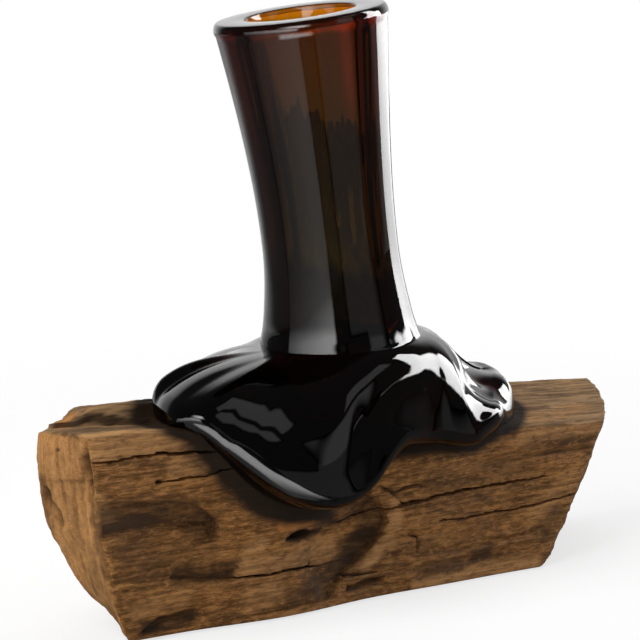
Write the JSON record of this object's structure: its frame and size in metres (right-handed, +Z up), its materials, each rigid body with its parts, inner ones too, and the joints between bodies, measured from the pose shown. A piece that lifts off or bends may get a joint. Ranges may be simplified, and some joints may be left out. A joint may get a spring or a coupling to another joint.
{
  "type": "footed vase",
  "caption": "Leaning amber-brown blown glass vase with a narrow flared neck, its thick foot slumped over the edges of a rough weathered hardwood block.",
  "frame": {"origin": "middle of the object's base: the centre of its outer box, at the level it stands on", "axes": "+X along the block towards its tapered right end, +Y to the back, +Z up; the glass laps lowest over the front face, towards -Y"},
  "size_m": [0.315, 0.099, 0.2527],
  "materials": {
    "weathered_wood": "raw weathered hardwood, cracked and hollowed, scorched round the glass",
    "amber_glass": "thick very dark amber-brown blown glass, fire polished"
  },
  "bodies": {
    "block": {"wooden_base": "weathered_wood"},
    "vase": {"glass_vase": "amber_glass"}
  },
  "joints": [
    {"name": "vase_lift", "type": "slide", "parent": "block", "child": "vase", "axis": [0, 0, 1], "range_m": [0, 0.09]}
  ]
}
